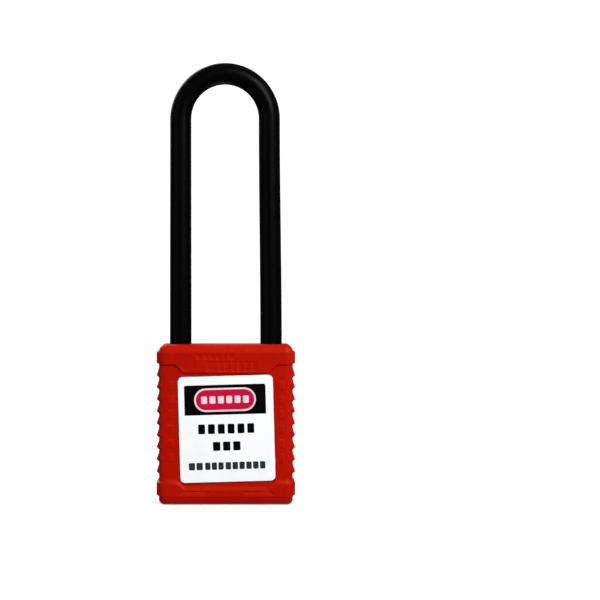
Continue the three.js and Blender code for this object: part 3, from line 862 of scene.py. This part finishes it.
def stand(shape, facing):
    """Turns a shape from label coordinates into place on the front (-1) or the back (1)."""
    points, faces = shape
    c, s = math.cos(LABEL["tilt"]), math.sin(LABEL["tilt"])
    across = points[:, 0] * c - points[:, 1] * s + LABEL["x"]
    up = points[:, 0] * s + points[:, 1] * c + LABEL["z"]
    out = LABEL["face"] + points[:, 2]
    return np.column_stack([-facing * across, facing * out, up]), faces


def blocks(centre_x, y, width, height, count, gap):
    """A row of plain rounded blocks, standing where a printed word would be."""
    each = (width - gap * (count - 1)) / count
    first = centre_x - width / 2 + each / 2
    return [((first + i * (each + gap), y), (each, height)) for i in range(count)]


def label_shadow_plate():
    """A dark red plate just larger than the sheet: a painted shadow line round its edge."""
    depth = LABEL["face"] - LABEL["back"]
    spread = 0.16
    half_width, half_height = LABEL["width"] / 2 + spread, LABEL["height"] / 2 + spread
    levels = [(-depth - 0.05, 0), (-depth + 0.02, 0), (-depth + 0.05, 0.05)]
    return block(half_width, half_height, LABEL["radius"] + spread, levels, steps=12)


def sheet():
    """The vinyl sheet, a little less proud than the room that the CAD gives it."""
    depth = LABEL["face"] - LABEL["back"]
    levels = [(-depth - 0.04, 0), (-0.07, 0), (-0.045, 0.01), (LABEL["base"], 0.04)]
    return block(LABEL["width"] / 2, LABEL["height"] / 2, LABEL["radius"], levels, steps=12)


HEADER = {"x": -0.22, "width": 23.4, "low": 4.1, "high": 12.7, "radius": 0.6}
PILL = {"width": 17.8, "height": 6.8, "border": 0.52}
# Where printed words would be: (centre x, height on the sheet, width, block height, count, gap).
BLACK_WORDS = [(-0.12, 0.05, 16.1, 2.8, 6, 0.85), (-0.1, -4.95, 7.9, 2.6, 3, 0.8)]
GREY_WORDS = [(-9.15, -10.6, 4.0, 2.1, 2, 0.4), (-3.8, -10.6, 5.3, 2.1, 3, 0.4)]
GREY_WORDS.append((5.15, -10.6, 11.4, 2.1, 6, 0.4))


def front_print():
    """A black header with a crimson pill, and rows of blocks in place of words."""
    base = LABEL["base"]
    first, second, third, fourth = (base + LABEL["print"] * i for i in (0.6, 0.9, 1.2, 1.5))
    x, middle = HEADER["x"], (HEADER["low"] + HEADER["high"]) / 2
    header = (HEADER["width"], HEADER["high"] - HEADER["low"])
    radii = (0.05, HEADER["radius"], HEADER["radius"], 0.05)
    rim = (PILL["width"], PILL["height"])
    inner = (rim[0] - 2 * PILL["border"], rim[1] - 2 * PILL["border"])
    parts = [
        printed((x, middle), header, radii, first, BLACK_INK),
        printed((x, middle), rim, rim[1] / 2 - 0.01, second, PINK_INK, base),
        printed((x, middle), inner, inner[1] / 2 - 0.01, third, CRIMSON_INK, base),
    ]
    words = [(PINK_INK, fourth, (x, middle, 13.7, 2.1, 6, 0.7))]
    words += [(BLACK_INK, first, word) for word in BLACK_WORDS]
    words += [(GREY_INK, first, word) for word in GREY_WORDS]
    for ink, top, word in words:
        parts += [printed(centre, size, 0.35, top, ink) for centre, size in blocks(*word)]
    return parts


def back_print():
    """A plain form to write on: a header bar, ruled lines and a signature box."""
    top = LABEL["base"] + LABEL["print"] * 0.6
    parts = [printed((0, 11.4), (23.3, 3.4), 0.4, top, BLACK_INK)]
    for row in range(5):
        y = 6.2 - 3.6 * row
        parts.append(printed((-9.6, y + 0.4), (4.1, 0.9), 0.2, top, GREY_INK))
        parts.append(printed((2.6, y), (18.2, 0.22), 0.05, top, BLACK_INK))
    for y in (-10.2, -13.2):
        parts.append(printed((0, y), (23.3, 0.25), 0.05, top, BLACK_INK))
    for x in (-11.52, 11.52):
        parts.append(printed((x, -11.7), (0.25, 2.75), 0.05, top, BLACK_INK))
    return parts


def make_labels():
    for facing, side, marks in ((-1, "front", front_print()), (1, "back", back_print())):
        # Each sticker lies on its painted shadow line.
        parts = [(stand(label_shadow_plate(), facing), LABEL_SHADOW_PAINT), (stand(sheet(), facing), WHITE_VINYL)]
        parts += [(stand(shape, facing), ink) for shape, ink in marks]
        label = mesh_object(f"{side}_sticker", parts)
        place(label, "housing", "label_vinyl", f"{side}_label", angle=50)


# ---- Lock core ----

CASE = {"barrel": 5.6, "tower": 2.9, "flange": 2.0, "bore": 3.65, "corner": 1.4, "edge": 0.25}
CLIP = {"inner": 2.95, "gap": 1.1}
CAM = {"disc_top": 34.9, "pin": 0.9, "offset": 2.5, "hole": 1.8}
GUIDE = {"low": 35.3, "high": 40.2, "foot_x": 5.8, "foot_y": 3.7, "inset": 0.6}
GUIDE["rail"] = (2.7, 3.7)  # inner and outer faces of the rails
GUIDE["rails"] = ((-2.0, 7.75, -1), (5.3, 7.75, 1))  # each rail's ends and side
GUIDE["posts"] = (-6.2, -5.3, 5.4)
SWEEP = {"radius": 3.536, "reach": 1.15, "spread": math.pi / 4 + 0.4}
LATCH = {"half": 2.5, "yoke": 2.4, "back": 5.7, "slot": 1.05}
TONGUE = {"half": 2.5, "shoulder": 4.5}


def softened(low, high, inset):
    """Levels of a plate whose upper and lower edges are chamfered."""
    return [(low, inset), (low + inset, 0), (high - inset, 0), (high, inset)]


def bar(x, y, z, radius=0.25, inset=0.12):
    """A milled bar between two limits on each axis, with softened edges."""
    centre = ((x[0] + x[1]) / 2, (y[0] + y[1]) / 2)
    levels = softened(z[0], z[1], inset)
    return block((x[1] - x[0]) / 2, (y[1] - y[0]) / 2, radius, levels, centre, steps=5)


def make_case():
    """The cylinder's housing: a bored barrel and a pin tower between two flanges."""
    low, high = HOUSING_LOW, HOUSING_HIGH
    bottom, top, flange, edge = low.z, high.z, CASE["flange"], CASE["edge"]
    bore, barrel, tower = CASE["bore"], CASE["barrel"], CASE["tower"]
    lower = block(high.x, high.y, CASE["corner"], softened(bottom, bottom + flange, edge))
    case = mesh_object("cylinder_case", [(lower, BRASS)])
    fuse(
        case,
        block(high.x, high.y, CASE["corner"], softened(top - flange, top, edge)),
        lathe([(barrel, bottom + edge), (barrel, top - edge)], sides=96),
        bar((low.x, 0), (-tower, tower), (bottom + edge, top - edge), 0.5),
    )
    mouth = [(bore + edge, bottom - BEYOND), (bore + edge, bottom), (bore, bottom + edge)]
    mouth += [(bore, top - edge), (bore + edge, top), (bore + edge, top + BEYOND)]
    chamber = lathe([(PINS["chamber"], 0), (PINS["chamber"], high.x + BEYOND)], sides=40)
    strip_low, strip_high = node_box("chamber_strip")
    slot = brick(
        (low.x - BEYOND, strip_low.y - SLIDE, strip_low.z - SLIDE),
        (strip_high.x + SLIDE, strip_high.y + SLIDE, strip_high.z + SLIDE),
    )
    carve(case, lathe(mouth, sides=96), slot, *(lay(chamber, z) for z in ladder(PINS)))
    place(case, "housing", "brass", "cylinder_housing")
    strip = bar(*((strip_low[axis], strip_high[axis]) for axis in range(3)), 0.12, 0.1)
    finished("chamber_cover", strip, BRASS, "housing", "brass", "chamber_strip")


def make_pins():
    """Six stacks: a key pin held at the shear line, its driver and the spring behind it."""
    for index, level in enumerate(ladder(PINS), 1):
        low, high = node_box(f"key_pin_{index}")
        tip, shear, radius = -high.x, -low.x, high.y
        profile = [(0.2, tip), (0.35, tip + 0.06), (radius - 0.06, tip + 0.6), (radius, tip + 0.7)]
        profile += [(radius, shear - 0.05), (radius - 0.05, shear)]
        pin = lay(lathe(profile, sides=40), level)
        finished(f"tumbler_{index}", pin, BRASS, "plug_core", "brass", f"key_pin_{index}")
        low, high = node_box(f"driver_pin_{index}")
        inner, outer = -high.x, -low.x
        profile = [(radius - 0.05, inner), (radius, inner + 0.05)]
        profile += [(radius, outer - 0.2), (radius - 0.2, outer)]
        driver = lay(lathe(profile, sides=40), level)
        finished(f"driver_{index}", driver, BRASS, "housing", "brass", f"driver_pin_{index}")
        low, high = node_box(f"pin_spring_{index}")
        wire, turns, end_rise = PIN_SPRING
        ends = (wire - high.x, -low.x - wire)
        spring = coil(high.y - wire, wire, turns, *ends, end_rise, sides=8, steps=24)
        placing = ("housing", "steel", f"pin_spring_{index}")
        finished(f"chamber_spring_{index}", lay(spring, level), STEEL, *placing, angle=50)


def make_clip():
    """The spring clip in the plug's rear groove, open on its front side."""
    low, high = node_box("plug_clip")
    inner, outer = CLIP["inner"], high.x
    section = outline((high.z - low.z) / 2, (outer - inner) / 2, 0.12, 4)
    section = [((outer + inner) / 2 + out, (low.z + high.z) / 2 + up) for up, out in section]
    start = -math.pi / 2 + CLIP["gap"] / 2
    clip = revolve(section, np.linspace(start, start + 2 * math.pi - CLIP["gap"], 73))
    finished("rear_clip", clip, STEEL, "plug_core", "steel", "plug_clip")


def make_cam():
    """The disc on the plug's tang, with the eccentric pin that drives the latch."""
    low, high = node_box("cam")
    radius, pin = high.y, CAM["pin"]
    disc = [(radius - 0.2, low.z), (radius, low.z + 0.2), (radius, CAM["disc_top"] - 0.2)]
    disc.append((radius - 0.2, CAM["disc_top"]))
    cam = mesh_object("drive_cam", [(lathe(disc, sides=80), STEEL)])
    post = [(pin, CAM["disc_top"] - 0.5), (pin, high.z - 0.2), (pin - 0.2, high.z)]
    fuse(cam, lathe(post, (CAM["offset"], CAM["offset"]), 32))
    hole = CAM["hole"]
    carve(cam, brick((-hole, -hole, low.z - BEYOND), (hole, hole, CAM["disc_top"] + BEYOND)))
    place(cam, "plug_core", "steel", "cam")


def sweep_tool(low, high):
    """The curved slot in the carrier that the cam's pin sweeps through."""
    middle, spread = math.pi / 2, SWEEP["spread"]
    outer, inner = SWEEP["radius"] + SWEEP["reach"], SWEEP["radius"] - SWEEP["reach"]
    angles = np.linspace(middle - spread, middle + spread, 25)
    ring = [(outer * math.cos(a), outer * math.sin(a)) for a in angles]
    ring += [(inner * math.cos(a), inner * math.sin(a)) for a in angles[::-1]]
    return loft([np.array([(x, y, z) for x, y in ring]) for z in (low, high)])


def make_latch():
    """The moulded carrier, the bolt that slides on it and the plate that keeps the heel."""
    low, high = node_box("latch_guide")
    bottom, top = GUIDE["low"], GUIDE["high"]
    base = block(high.x, high.y, CASE["corner"], softened(bottom, top, 0.2))
    guide = mesh_object("latch_carrier", [(base, GREY_NYLON)])
    far_x, far_y = high.x - GUIDE["inset"], high.y - GUIDE["inset"]
    feet, uprights = [], []
    for x in ((GUIDE["foot_x"], far_x), (-far_x, -GUIDE["foot_x"])):
        for y in ((GUIDE["foot_y"], far_y), (-far_y, -GUIDE["foot_y"])):
            feet.append(bar(x, y, (low.z, bottom + 0.5)))
    inner, outer = GUIDE["rail"]
    for start, end, side in GUIDE["rails"]:
        uprights.append(bar((start, end), sorted((side * inner, side * outer)), (top - 0.5, high.z)))
    start, end, reach = GUIDE["posts"]
    for side in (-1, 1):
        uprights.append(bar((start, end), sorted((side * inner, side * reach)), (top - 0.5, high.z)))
    fuse(guide, *feet, *uprights)
    carve(guide, sweep_tool(bottom - BEYOND, top + BEYOND))
    place(guide, "housing", "carrier_nylon", "latch_guide")

    heights = (LATCH_LOW.z, LATCH_HIGH.z)
    centre, half, yoke, slot = CAM["offset"], LATCH["half"], LATCH["yoke"], LATCH["slot"]
    nose = bar((centre - yoke, LATCH_HIGH.x), (-half, half), heights)
    bolt = mesh_object("bolt", [(nose, STEEL)])
    fuse(bolt, bar((centre - yoke, centre + yoke), (-half, LATCH["back"]), heights))
    far = SWEEP["radius"] + slot
    opening = ((centre - slot, centre + slot), (centre - slot, far))
    carve(bolt, bar(*opening, (LATCH_LOW.z - BEYOND, LATCH_HIGH.z + BEYOND)))
    place(bolt, "latch", "steel", "latch_bolt")

    low, high = node_box("heel_retainer")
    half = TONGUE["half"]
    keeper = mesh_object("heel_plate", [(bar((low.x, high.x), (-half, half), heights), STEEL)])
    shoulder = TONGUE["shoulder"]
    fuse(keeper, bar((HOUSING_LOW.x, high.x), (-shoulder, shoulder), heights))
    place(keeper, "housing", "steel", "heel_retainer")


# ---- Setting ----


# Millimetres; drop keeps the floor clear of the body's bottom face.
BACKDROP = {"radius": 2500, "sweep": 900, "height": 2600, "drop": 0.05, "middle": 100}
# Glow of the paper as (metres from the padlock, strength), near and far.
BACKDROP.update({"near": (0.06, 0.3), "far": (0.5, 0.65)})


def backdrop_look():
    """Matt white paper that glows as painted light, weaker near the padlock so the floor is darker round
    it, and clear when seen from below.
    """
    look = Look("white_paper", Specular_IOR_Level=0.0, Emission_Color=(1, 1, 1, 1))
    distance = look.node("ShaderNodeVectorMath", {0: look.position}, operation="LENGTH")
    (start, low), (end, high) = BACKDROP["near"], BACKDROP["far"]
    glow = look.remap(distance.outputs["Value"], low, high, start, end)
    look.link(glow, look.shader.inputs["Emission Strength"])
    fibre = look.remap(look.noise(60, detail=2), 0, 1)
    look.paint(look.mix(fibre, (0.9, 0.9, 0.9, 1), (0.91, 0.91, 0.91, 1)))
    look.roughen(look.remap(look.noise(8, detail=3), 0.8, 0.9))
    clear = look.node("ShaderNodeBsdfTransparent").outputs[0]
    behind = look.node("ShaderNodeNewGeometry").outputs["Backfacing"]
    choice = look.node("ShaderNodeMixShader", {0: behind, 1: look.shader.outputs[0], 2: clear})
    look.link(choice.outputs[0], look.tree.nodes["Material Output"].inputs["Surface"])
    return look.material


def make_backdrop():
    """A pale floor that sweeps up all round the object, well clear of it."""
    radius, sweep, drop = BACKDROP["radius"], BACKDROP["sweep"], BACKDROP["drop"]
    profile = [(radius, BACKDROP["height"])]
    for angle in np.linspace(math.pi / 2, 0, 25):
        profile.append((radius - sweep + sweep * math.sin(angle), sweep * (1 - math.cos(angle)) - drop))
    profile.append((BACKDROP["middle"], -drop))
    points, faces = lathe(profile, sides=96)
    open_top = len(faces) - 2
    del faces[open_top]
    floor = mesh_object("backdrop", [((points, faces), backdrop_look())])
    floor.data.shade_smooth()
    floor.visible_diffuse = False
    floor.visible_glossy = False
    floor.visible_shadow = False


SKY = (0.16, 0.7)  # strength of the light from below and from overhead
SKY_SPAN = (-0.4, 0.9)  # how steeply down and up these are reached
SKY_GLOSS = 0.3  # share of it that glossy reflections show, so that blacks and reds stay deep


def aim(holder, target, offset):
    """Stands a lamp or camera off from a target and turns it towards that."""
    holder.location = target + offset
    holder.rotation_euler = (-offset).to_track_quat("-Z", "Y").to_euler()


def make_lights(target):
    """A soft key from the upper right, weak lamps all round and a sky that is paler overhead."""
    # Each lamp's name, place from the target, size and power, in metres and watts.
    lamps = [
        ("key", Vector((0.30, -0.42, 0.30)), 0.3, 4.1),
        ("fill", Vector((-0.7, -0.5, 0.2)), 0.5, 0.8),
        ("back", Vector((-0.35, 0.6, 0.4)), 0.5, 4.0),
        ("under", Vector((0.1, 0.22, -0.6)), 0.5, 1.1),
    ]
    for name, offset, size, power in lamps:
        lamp = bpy.data.lights.new(name, "AREA")
        lamp.size = size
        lamp.energy = power
        holder = add_object(name, lamp)
        holder.visible_camera = False
        aim(holder, target, offset)
    world = bpy.data.worlds.new("sky")
    bpy.context.scene.world = world
    world.use_nodes = True
    nodes = Nodes(world.node_tree)
    direction = nodes.node("ShaderNodeTexCoord").outputs["Generated"]
    upward = nodes.node("ShaderNodeSeparateXYZ", {0: direction}).outputs["Z"]
    glossy = nodes.node("ShaderNodeLightPath").outputs["Is Glossy Ray"]
    strength = nodes.product(nodes.remap(upward, *SKY, *SKY_SPAN), nodes.remap(glossy, 1, SKY_GLOSS, 0, 1))
    sky = world.node_tree.nodes["Background"]
    nodes.link((1, 1, 1, 1), sky.inputs["Color"])
    nodes.link(strength, sky.inputs["Strength"])


CAMERA = {"distance": 0.664, "lens": 136.8}
CAMERA["shift"] = (0.1235, -0.0293)  # the photograph frames the padlock left of and above its middle


def make_camera(target):
    data = bpy.data.cameras.new("camera")
    data.lens = CAMERA["lens"]
    data.shift_x, data.shift_y = CAMERA["shift"]
    camera = add_object("camera", data)
    aim(camera, target, Vector((0, -CAMERA["distance"], 0)))
    bpy.context.scene.camera = camera


middle = (cad_box[0] + cad_box[1]) / 2
make_camera(middle)
make_lights(middle)
make_backdrop()
make_body()
make_cover()
make_rivets()
make_plug()
make_shackle()
make_heel_spring()
make_labels()
make_case()
make_pins()
make_clip()
make_cam()
make_latch()
bpy.context.scene.view_settings.view_transform = "Standard"
